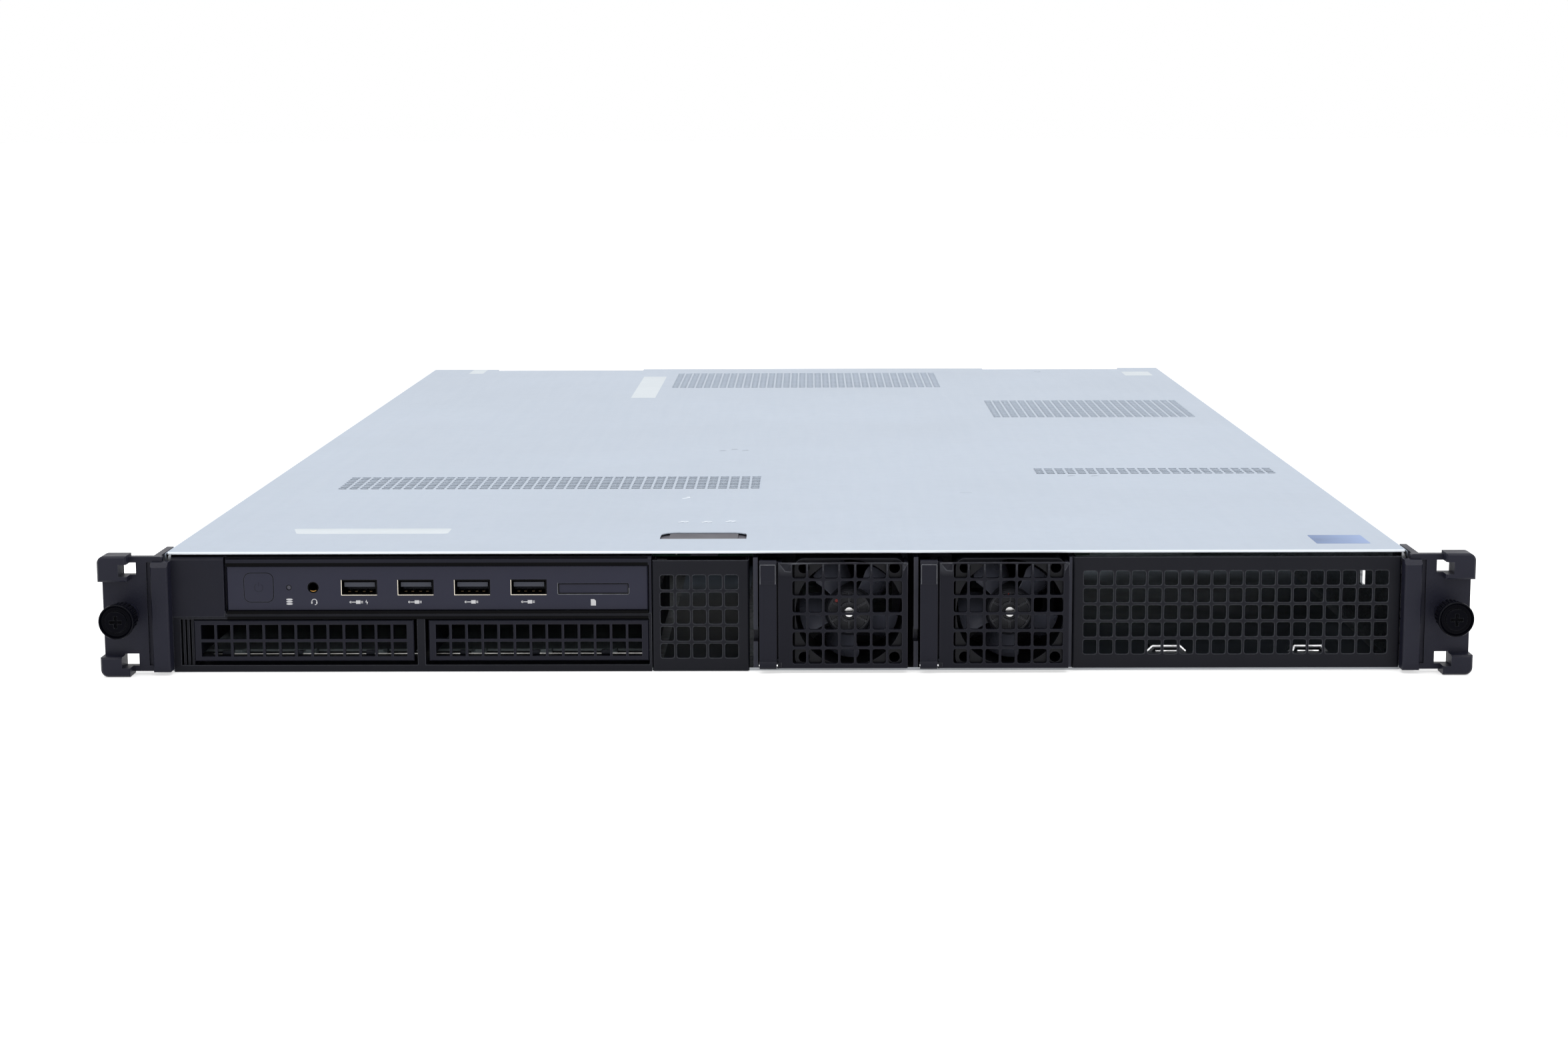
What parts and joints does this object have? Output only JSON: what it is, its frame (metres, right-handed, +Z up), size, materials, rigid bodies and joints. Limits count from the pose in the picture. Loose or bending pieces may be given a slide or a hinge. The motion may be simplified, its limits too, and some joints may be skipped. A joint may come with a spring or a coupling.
{
  "type": "rack server",
  "caption": "Low rack-mount server chassis with sliding vented cover, front drive bays, pull-out fans with levers, rack ears with thumbscrews and rear power supplies.",
  "frame": {"origin": "middle of the whole footprint, on the surface it stands on", "axes": "+X to the right seen from the front, front faces -Y, +Z up"},
  "size_m": [0.4826, 0.73, 0.0432],
  "materials": {
    "zinc_steel": "satin zinc-plated sheet",
    "bright_steel": "bright plated steel",
    "black_steel": "satin black powder coat",
    "cast_black": "fine textured black",
    "cover_paint": "pale blue-grey satin coat",
    "black_plastic": "satin black moulding",
    "panel_plastic": "slightly glossy blue-black",
    "latch_plastic": "grey-brown moulding",
    "dark_plastic": "black insulator",
    "gloss_plastic": "glossy black blades",
    "gold_plate": "dark gold plating",
    "lamp": "clear light pipe",
    "aluminium": "bare extruded",
    "board": "circuit board"
  },
  "bodies": {
    "chassis": {"base_pan": "zinc_steel", "rear_panel": "zinc_steel", "slot_covers": "zinc_steel", "bay_cage": "black_steel", "bay_tray": "bright_steel", "bay_backplane": "board", "io_bezel": "black_plastic", "io_panel": "panel_plastic", "io_board": "board", "usb_shells": "gold_plate", "usb_tongues": "dark_plastic", "headset_jack": "gold_plate", "activity_light": "lamp", "card_slot_blank": "black_plastic", "center_grille": "black_steel", "right_grille": "black_steel", "fan_cage": "black_steel", "fan_sockets": "black_plastic", "ear_right": "cast_black", "ear_left": "cast_black", "rail_studs": "bright_steel", "motherboard": "board", "cpu_heatsink": "aluminium", "memory_modules": "board", "riser_bracket": "zinc_steel", "riser_card": "board", "rear_ports": "bright_steel", "power_board": "board", "air_baffle": "black_plastic"},
    "cover": {"top_cover": "cover_paint"},
    "cover_latch": {"cover_latch": "latch_plastic"},
    "power_button": {"power_button": "panel_plastic"},
    "bay_filler_left": {"bay_filler_left": "black_plastic"},
    "bay_filler_right": {"bay_filler_right": "black_plastic"},
    "fan_module_left": {"fan_frame_left": "black_plastic", "fan_housing_left": "black_plastic", "fan_lever_pin_left": "black_steel"},
    "fan_rotor_left": {"fan_rotor_left": "gloss_plastic"},
    "fan_lever_left": {"fan_lever_left": "black_plastic"},
    "fan_module_right": {"fan_frame_right": "black_plastic", "fan_housing_right": "black_plastic", "fan_lever_pin_right": "black_steel"},
    "fan_rotor_right": {"fan_rotor_right": "gloss_plastic"},
    "fan_lever_right": {"fan_lever_right": "black_plastic"},
    "thumb_retainer_right": {"thumb_retainer_right": "bright_steel"},
    "thumbscrew_right": {"thumbscrew_right": "black_steel"},
    "thumb_retainer_left": {"thumb_retainer_left": "bright_steel"},
    "thumbscrew_left": {"thumbscrew_left": "black_steel"},
    "psu_right": {"psu_case_right": "zinc_steel", "psu_inlet_right": "black_plastic", "psu_handle_right": "cast_black"},
    "psu_latch_right": {"psu_latch_right": "latch_plastic"},
    "psu_fan_rotor_right": {"psu_fan_rotor_right": "gloss_plastic"},
    "psu_left": {"psu_case_left": "zinc_steel", "psu_inlet_left": "black_plastic", "psu_handle_left": "cast_black"},
    "psu_latch_left": {"psu_latch_left": "latch_plastic"},
    "psu_fan_rotor_left": {"psu_fan_rotor_left": "gloss_plastic"}
  },
  "joints": [
    {"name": "cover_slide", "type": "slide", "parent": "chassis", "child": "cover", "axis": [0, 1, 0], "range_m": [0, 0.012]},
    {"name": "cover_latch_press", "type": "slide", "parent": "cover", "child": "cover_latch", "axis": [0, 0, -1], "range_m": [0, 0.0025], "stiffness_N_per_m": 400, "springref_m": -0.002},
    {"name": "power_button_press", "type": "slide", "parent": "chassis", "child": "power_button", "axis": [0, 1, 0], "range_m": [0, 0.0008], "stiffness_N_per_m": 800, "springref_m": -0.0005},
    {"name": "bay_filler_left_pull", "type": "slide", "parent": "chassis", "child": "bay_filler_left", "axis": [0, -1, 0], "range_m": [0, 0.065]},
    {"name": "bay_filler_right_pull", "type": "slide", "parent": "chassis", "child": "bay_filler_right", "axis": [0, -1, 0], "range_m": [0, 0.065]},
    {"name": "fan_module_left_pull", "type": "slide", "parent": "chassis", "child": "fan_module_left", "axis": [0, -1, 0], "range_m": [0, 0.06]},
    {"name": "fan_rotor_left_spin", "type": "hinge", "parent": "fan_module_left", "child": "fan_rotor_left", "pos_m": [0.0227, -0.337, 0.0213], "axis": [0, 1, 0], "continuous": true},
    {"name": "fan_lever_left_pivot", "type": "hinge", "parent": "fan_module_left", "child": "fan_lever_left", "pos_m": [-0.00602, -0.348, 0.0029], "axis": [1, 0, 0], "range_deg": [0, 60]},
    {"name": "fan_module_right_pull", "type": "slide", "parent": "chassis", "child": "fan_module_right", "axis": [0, -1, 0], "range_m": [0, 0.06]},
    {"name": "fan_rotor_right_spin", "type": "hinge", "parent": "fan_module_right", "child": "fan_rotor_right", "pos_m": [0.0795, -0.337, 0.0213], "axis": [0, 1, 0], "continuous": true},
    {"name": "fan_lever_right_pivot", "type": "hinge", "parent": "fan_module_right", "child": "fan_lever_right", "pos_m": [0.05078, -0.348, 0.0029], "axis": [1, 0, 0], "range_deg": [0, 60]},
    {"name": "thumbscrew_right_draw", "type": "slide", "parent": "chassis", "child": "thumb_retainer_right", "axis": [0, -1, 0], "range_m": [0, 0.005]},
    {"name": "thumbscrew_right_turn", "type": "hinge", "parent": "thumb_retainer_right", "child": "thumbscrew_right", "pos_m": [0.23255, -0.345, 0.0217], "axis": [0, 1, 0], "continuous": true},
    {"name": "thumbscrew_left_draw", "type": "slide", "parent": "chassis", "child": "thumb_retainer_left", "axis": [0, -1, 0], "range_m": [0, 0.005]},
    {"name": "thumbscrew_left_turn", "type": "hinge", "parent": "thumb_retainer_left", "child": "thumbscrew_left", "pos_m": [-0.23255, -0.345, 0.0217], "axis": [0, 1, 0], "continuous": true},
    {"name": "psu_right_pull", "type": "slide", "parent": "chassis", "child": "psu_right", "axis": [0, 1, 0], "range_m": [0, 0.185]},
    {"name": "psu_latch_right_pinch", "type": "hinge", "parent": "psu_right", "child": "psu_latch_right", "pos_m": [0.21575, 0.3216, 0.0078], "axis": [0, 0, 1], "range_deg": [0, 4], "stiffness_Nm_per_rad": 0.5, "springref_deg": -2.86},
    {"name": "psu_fan_rotor_right_spin", "type": "hinge", "parent": "psu_right", "child": "psu_fan_rotor_right", "pos_m": [0.1627, 0.3336, 0.0208], "axis": [0, 1, 0], "continuous": true},
    {"name": "psu_left_pull", "type": "slide", "parent": "chassis", "child": "psu_left", "axis": [0, 1, 0], "range_m": [0, 0.185]},
    {"name": "psu_latch_left_pinch", "type": "hinge", "parent": "psu_left", "child": "psu_latch_left", "pos_m": [0.14045, 0.3216, 0.0078], "axis": [0, 0, 1], "range_deg": [0, 4], "stiffness_Nm_per_rad": 0.5, "springref_deg": -2.86},
    {"name": "psu_fan_rotor_left_spin", "type": "hinge", "parent": "psu_left", "child": "psu_fan_rotor_left", "pos_m": [0.0874, 0.3336, 0.0208], "axis": [0, 1, 0], "continuous": true}
  ]
}
